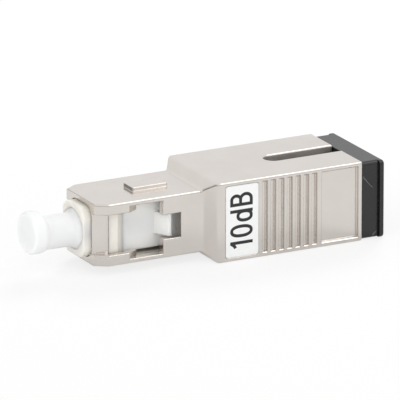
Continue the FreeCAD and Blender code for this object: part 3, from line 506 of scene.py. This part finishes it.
def oval(centre, half_width, half_height):
    """A closed path whose points are a centre plus powers of cosine and sine, a little squarer than an ellipse."""
    turn = np.linspace(0, 2 * math.pi, OVAL_POINTS)
    x = half_width * np.sign(np.cos(turn)) * np.abs(np.cos(turn)) ** OVAL_POWER
    y = half_height * np.sign(np.sin(turn)) * np.abs(np.sin(turn)) ** OVAL_POWER
    return np.stack([centre[0] + x, centre[1] + y], 1)


def bowl(left, straight, top, bottom):
    """A path from the left along a straight line, round half an oval, and back: the bow of a letter."""
    turn = np.linspace(math.pi / 2, -math.pi / 2, BOW_POINTS)
    half = (top - bottom) / 2
    arc = np.stack([straight + half * BOW_REACH * np.cos(turn), (top + bottom) / 2 + half * np.sin(turn)], 1)
    return np.concatenate([[(left, top)], arc, [(left, bottom)]])


def rating_paths():
    """The middle lines of the rating's strokes, in units of the characters' height, from left to right."""
    edge = STROKE / 2
    one_stem = ONE_LEFT + 0.23
    deci_stem = DECI_LEFT + 0.52 - edge
    bel_stem = BEL_LEFT + edge
    bel_waist = 0.54
    return [
        np.array([(ONE_LEFT + 0.02, 0.76), (ONE_LEFT + 0.12, 0.82), (one_stem, 0.97)]),
        np.array([(one_stem, 0.0), (one_stem, 1.0)]),
        oval((NOUGHT_LEFT + 0.26, 0.5), 0.26 - edge, 0.5 - edge),
        oval((DECI_LEFT + 0.25, 0.36), 0.25 - edge, 0.36 - edge),
        np.array([(deci_stem, 0.0), (deci_stem, 1.0)]),
        np.array([(bel_stem, 0.0), (bel_stem, 1.0)]),
        bowl(bel_stem, BEL_LEFT + 0.27, 1 - edge, bel_waist),
        bowl(bel_stem, BEL_LEFT + 0.28, bel_waist, edge),
    ]


def stroke_solid(path):
    """The corners and faces of a flat bar along a path: a rectangle carried along it, with a mitre at each bend.

    At each point the bar's half width is laid along the mean of the two neighbouring normals, divided by the cosine
    of half the bend. A closed path gives a ring, and an open one is closed by a face at either end.
    """
    steps = np.diff(path, axis=0)
    normals = np.stack([-steps[:, 1], steps[:, 0]], 1) / np.linalg.norm(steps, axis=1, keepdims=True)
    closed = np.allclose(path[0], path[-1])
    ahead = np.vstack([normals, normals[:1] if closed else normals[-1:]])
    behind = np.vstack([normals[-1:] if closed else normals[:1], normals])
    mean = ahead + behind
    mitre = mean / (mean * behind).sum(1, keepdims=True)
    left = path + mitre * STROKE / 2
    right = path - mitre * STROKE / 2
    count = len(path) - closed
    flat = np.stack([left, right, right, left], 1)[:count].reshape(-1, 2)
    heights = np.tile([1.0, 1.0, 0.0, 0.0], count)
    points = np.column_stack([flat, heights])
    corner = np.arange(4)
    following = (corner + 1) % 4
    ring = np.arange(len(path) - 1)[:, None]
    here = ring * 4
    there = (ring + 1) % count * 4
    quads = np.stack([here + corner, here + following, there + following, there + corner], 2)
    ends = np.stack([-corner % 4, (count - 1) * 4 + corner])
    return points, np.vstack([quads.reshape(-1, 4), ends[:0] if closed else ends])


def print_rating():
    """The rating on the label: its strokes run up along Z with their tops towards -X, as a thin layer of ink."""
    low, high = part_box("label")
    middle = (low + high) / 2
    bars, faces = [], []
    for number, path in enumerate(rating_paths()):
        bar, bar_faces = stroke_solid(path)
        # Each stroke stands a little above the one before, so that no two faces lie in one plane where they cross.
        bar[:, 2] *= 1 + number * INK_STEP
        faces.append(bar_faces + sum(map(len, bars)))
        bars.append(bar)
    drawn = np.vstack(bars)
    centre = (drawn[:, 0].max() + drawn[:, 0].min()) / 2
    placed = np.stack([
        middle.x + RATING_SHIFT - (drawn[:, 1] - 0.5) * RATING_HEIGHT,
        low.y - drawn[:, 2] * INK_THICKNESS,
        middle.z + (drawn[:, 0] - centre) * RATING_HEIGHT,
    ], 1)
    ink = place_mesh("label_print", placed, np.vstack(faces).tolist(), printed_ink(), False)
    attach(ink, "housing")


def make_floor():
    """A wide pale floor under the part: lifted towards white where the camera sees it, less so in reflections."""
    points = np.array([[-1, -1, 0], [1, -1, 0], [1, 1, 0], [-1, 1, 0]]) * FLOOR_HALF
    material, tree, _ = new_material("studio_floor")
    path = add_node(tree, "ShaderNodeLightPath")
    tone = add_node(
        tree, "ShaderNodeMix", {0: path.outputs["Is Glossy Ray"], 6: linear("F6F6F6"), 7: linear("F3F3F3")},
        data_type="RGBA",
    )
    paper = add_node(tree, "ShaderNodeBsdfDiffuse", {"Color": tone})
    white = add_node(tree, "ShaderNodeEmission", {"Color": linear("FFFFFF"), "Strength": 1.0})
    seen = add_node(
        tree, "ShaderNodeMath", {0: path.outputs["Is Camera Ray"], 1: path.outputs["Is Transmission Ray"]},
        operation="MAXIMUM",
    )
    mirrored = add_node(
        tree, "ShaderNodeMath", {0: path.outputs["Is Glossy Ray"], 1: FLOOR_WHITE_MIRRORED}, operation="MULTIPLY"
    )
    share = add_node(
        tree, "ShaderNodeMath", {0: seen, 1: FLOOR_WHITE_SEEN, 2: mirrored}, operation="MULTIPLY_ADD"
    )
    mixed = add_node(tree, "ShaderNodeMixShader", {0: share, 1: paper, 2: white})
    add_node(tree, "ShaderNodeOutputMaterial", {"Surface": mixed})
    place_mesh("floor", points, [[0, 1, 2, 3]], material, False)


def make_world():
    """A white studio: plain white where it is seen, and with a level of its own in reflections and in its light.

    Reflections find it dim on the left, with a dark gap and a small glow in front. Its light comes mostly from the
    front left.
    """
    world = bpy.data.worlds.new("studio")
    world.use_nodes = True
    tree = world.node_tree
    tree.nodes.clear()
    path = add_node(tree, "ShaderNodeLightPath")
    towards = add_node(tree, "ShaderNodeTexCoord").outputs["Generated"]
    parts = add_node(tree, "ShaderNodeSeparateXYZ", {"Vector": towards}).outputs
    left = add_node(tree, "ShaderNodeVectorMath", {0: towards, 1: DIM_LEFT}, operation="DOT_PRODUCT")
    dusk = add_node(tree, "ShaderNodeMapRange", {"Value": parts["Z"], **DUSK})
    dim = add_node(tree, "ShaderNodeMapRange", {"Value": left.outputs["Value"], **DIM_EDGE, "To Max": dusk})
    sky = add_node(tree, "ShaderNodeMapRange", {"Value": parts["Z"], **LOW_SKY})
    front = add_node(tree, "ShaderNodeVectorMath", {0: towards, 1: FRONT_GLOW}, operation="DOT_PRODUCT")
    glow = add_node(tree, "ShaderNodeMapRange", {"Value": front.outputs["Value"], **GLOW_EDGE})
    # The gap shows as fine dark lines along the rounded edges.
    above = add_node(tree, "ShaderNodeMath", {0: parts["Z"], 1: GAP_HEIGHT}, operation="SUBTRACT")
    off_gap = add_node(tree, "ShaderNodeMath", {0: above}, operation="ABSOLUTE")
    back = add_node(tree, "ShaderNodeMapRange", {"Value": parts["Y"], **GAP_BACK})
    apart = add_node(tree, "ShaderNodeMath", {0: off_gap, 1: back}, operation="ADD")
    gap = add_node(tree, "ShaderNodeMapRange", {"Value": apart, **GAP_EDGE})
    shaded = add_node(tree, "ShaderNodeMath", {0: dim, 1: gap}, operation="MULTIPLY")
    level = add_node(tree, "ShaderNodeMath", {0: shaded, 1: sky, 2: glow}, operation="MULTIPLY_ADD")
    side = add_node(tree, "ShaderNodeVectorMath", {0: towards, 1: FILL_SIDE}, operation="DOT_PRODUCT")
    fill = add_node(tree, "ShaderNodeMapRange", {"Value": side.outputs["Value"], **FILL})
    spread = add_node(
        tree, "ShaderNodeMix", {0: path.outputs["Is Glossy Ray"], 2: fill, 3: level}, data_type="FLOAT"
    )
    seen = add_node(
        tree, "ShaderNodeMath", {0: path.outputs["Is Camera Ray"], 1: path.outputs["Is Transmission Ray"]},
        operation="MAXIMUM",
    )
    strength = add_node(tree, "ShaderNodeMix", {0: seen, 2: spread, 3: 1.0}, data_type="FLOAT")
    light = add_node(tree, "ShaderNodeBackground", {"Color": linear("FFFFFF"), "Strength": strength})
    add_node(tree, "ShaderNodeOutputWorld", {"Surface": light})
    bpy.context.scene.world = world


def make_lamp(name, place, size, power, mirrored):
    """A square soft box that faces the part, and shows in reflections or only lights."""
    lamp = bpy.data.lights.new(name, "AREA")
    lamp.size = size
    lamp.energy = power
    holder = bpy.data.objects.new(name, lamp)
    holder.location = place
    holder.rotation_euler = (-Vector(place)).to_track_quat("-Z", "Y").to_euler()
    holder.visible_glossy = mirrored
    bpy.context.scene.collection.objects.link(holder)


def make_camera():
    """The camera at the photograph's angle, with a lens that takes in the view's width at the part."""
    azimuth = math.radians(VIEW_AZIMUTH)
    elevation = math.radians(VIEW_ELEVATION)
    back = Vector((
        math.sin(azimuth) * math.cos(elevation),
        -math.cos(azimuth) * math.cos(elevation),
        math.sin(elevation),
    ))
    camera = bpy.data.cameras.new("camera")
    camera.lens = camera.sensor_width * VIEW_DISTANCE / VIEW_WIDTH
    camera.clip_start = 10 * MM
    holder = bpy.data.objects.new("camera", camera)
    holder.location = VIEW_TARGET + back * VIEW_DISTANCE
    holder.rotation_euler = (-back).to_track_quat("-Z", "Y").to_euler()
    bpy.context.scene.collection.objects.link(holder)
    bpy.context.scene.camera = holder


finish_nodes()
make_dust_cap()
make_spring()
print_rating()
make_floor()
make_world()
make_lamp("overhead_box", **OVERHEAD_BOX)
make_lamp("back_box", **BACK_BOX)
make_camera()
bpy.context.scene.view_settings.view_transform = "Standard"
